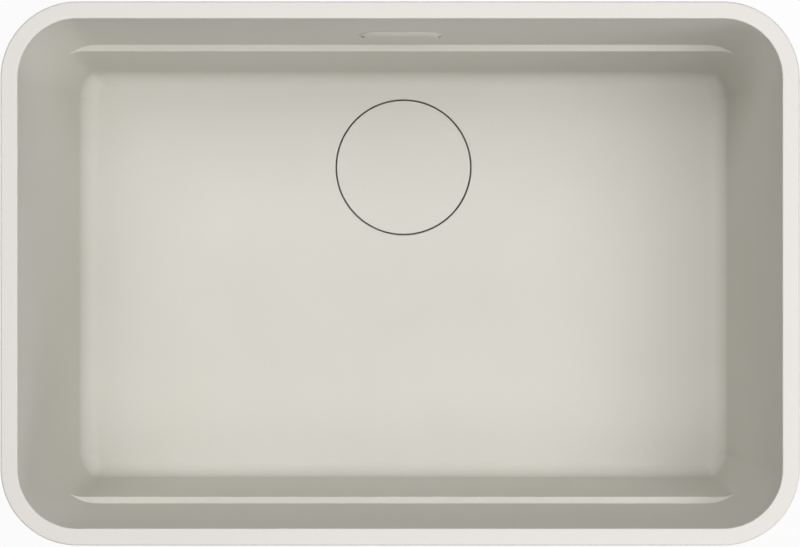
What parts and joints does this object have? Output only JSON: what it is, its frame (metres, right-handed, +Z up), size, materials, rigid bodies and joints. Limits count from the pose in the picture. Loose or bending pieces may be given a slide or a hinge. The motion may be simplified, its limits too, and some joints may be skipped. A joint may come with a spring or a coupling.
{
  "type": "kitchen sink",
  "caption": "Undermount single-bowl kitchen sink in matte off-white solid surface: front and back ledges, flush round drain cover over a lift-out strainer basket, overflow with pipe.",
  "frame": {"origin": "centre of the bowl's opening in the flat top plane of the rim, where the rim is bonded under the worktop", "axes": "+X to the user's right, +Y to the back wall with the overflow, +Z up out of the bowl"},
  "size_m": [0.602, 0.4212, 0.304],
  "materials": {
    "bowl": "matte moulded solid surface, off-white",
    "drain_cover": "matte moulded solid surface, off-white",
    "cover_carrier": "moulded, satin",
    "cover_feet": "soft black rubber",
    "strainer_cup": "pressed stainless steel, brushed",
    "flange_gasket": "black rubber",
    "clamp_screw": "turned stainless steel",
    "basket": "punched stainless steel, satin",
    "basket_stem": "turned stainless steel",
    "basket_knob": "polished stainless steel",
    "basket_seal": "black rubber",
    "seal_clip": "spring steel",
    "stem_o_ring": "black rubber",
    "body_gasket": "black rubber",
    "waste_body": "moulded polypropylene, satin",
    "waste_hub": "moulded polypropylene, satin",
    "waste_tail": "moulded polypropylene, satin",
    "overflow_cover": "matte, colour of the bowl",
    "overflow_frame": "moulded, dark",
    "overflow_screw": "stainless steel",
    "overflow_gasket": "black rubber",
    "overflow_head": "moulded polypropylene, satin",
    "overflow_pipe": "moulded polypropylene, satin",
    "pipe_o_ring": "black rubber",
    "pipe_washer": "black rubber",
    "pipe_nut": "moulded polypropylene, satin"
  },
  "bodies": {
    "sink": {"bowl": "bowl", "strainer_cup": "strainer_cup", "flange_gasket": "flange_gasket", "clamp_screw": "clamp_screw", "body_gasket": "body_gasket", "waste_body": "waste_body", "waste_hub": "waste_hub", "waste_tail": "waste_tail", "overflow_frame": "overflow_frame", "overflow_screw": "overflow_screw", "overflow_gasket": "overflow_gasket", "overflow_head": "overflow_head", "overflow_pipe": "overflow_pipe", "pipe_o_ring": "pipe_o_ring", "pipe_washer": "pipe_washer", "pipe_nut": "pipe_nut"},
    "cover_assembly": {"drain_cover": "drain_cover", "cover_carrier": "cover_carrier", "cover_feet": "cover_feet"},
    "basket_assembly": {"basket": "basket", "basket_stem": "basket_stem", "basket_knob": "basket_knob", "basket_seal": "basket_seal", "seal_clip": "seal_clip", "stem_o_ring": "stem_o_ring"},
    "overflow_cap": {"overflow_cover": "overflow_cover"}
  },
  "joints": [
    {"name": "basket_lift", "type": "slide", "parent": "sink", "child": "basket_assembly", "axis": [0, 0, 1], "range_m": [0, 0.26]},
    {"name": "cover_lift", "type": "slide", "parent": "basket_assembly", "child": "cover_assembly", "axis": [0, 0, 1], "range_m": [0, 0.22]},
    {"name": "overflow_cover_pull", "type": "slide", "parent": "sink", "child": "overflow_cap", "axis": [0, -0.9962, 0.0872], "range_m": [0, 0.04]}
  ]
}
